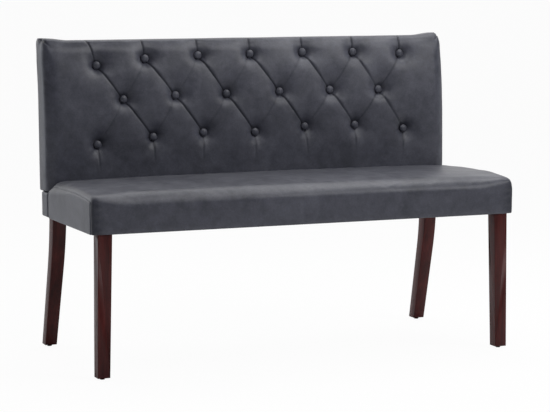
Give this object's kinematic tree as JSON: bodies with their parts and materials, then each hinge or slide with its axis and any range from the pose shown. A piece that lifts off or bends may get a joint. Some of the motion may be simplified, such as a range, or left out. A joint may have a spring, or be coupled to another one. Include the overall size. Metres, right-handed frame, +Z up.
{
  "type": "upholstered banquette bench",
  "caption": "Padded bench with a deep buttoned back and square tapered wooden legs, for seating at a table.",
  "frame": {"origin": "on the floor, below the middle of the bench's overall width and depth", "axes": "+X along the seat to the right of someone facing the bench, +Y from the seat's front to its back, +Z up"},
  "size_m": [1.212, 0.562, 0.866],
  "materials": {
    "upholstery": "satin",
    "leg_wood": "satin",
    "frame_wood": "matte",
    "plywood": "matte",
    "foam": "matte",
    "wadding": "matte",
    "dust_cloth": "matte",
    "twine": "matte",
    "steel": "satin",
    "glide_steel": "satin"
  },
  "bodies": {
    "root": {"seat_cover": "upholstery", "seat_side_panel_left": "upholstery", "seat_side_panel_right": "upholstery", "back_front_cover": "upholstery", "back_rear_cover": "upholstery", "back_lower_cover": "upholstery", "top_row_buttons": "upholstery", "middle_row_buttons": "upholstery", "bottom_row_buttons": "upholstery", "front_leg_left": "leg_wood", "front_leg_right": "leg_wood", "back_leg_left": "leg_wood", "back_leg_right": "leg_wood", "foot_glides": "glide_steel", "seat_front_rail": "frame_wood", "seat_back_rail": "frame_wood", "seat_left_rail": "frame_wood", "seat_right_rail": "frame_wood", "seat_cross_rails": "frame_wood", "seat_corner_blocks": "frame_wood", "seat_frame_dowels": "frame_wood", "seat_deck": "plywood", "corner_block_screws": "steel", "deck_screws": "steel", "front_leg_bolts": "steel", "front_leg_washers": "steel", "front_leg_nuts": "steel", "seat_to_back_bolts": "steel", "seat_to_back_washers": "steel", "post_insert_nuts": "steel", "seat_foam": "foam", "seat_wadding": "wadding", "seat_dust_cover": "dust_cloth", "back_bottom_rail": "frame_wood", "back_lower_rail": "frame_wood", "back_top_rail": "frame_wood", "back_stiles": "frame_wood", "back_frame_dowels": "frame_wood", "tufting_board": "plywood", "rear_board": "plywood", "back_foam": "foam", "rear_padding": "foam", "button_twines": "twine", "twine_washers": "steel"}
  },
  "joints": []
}
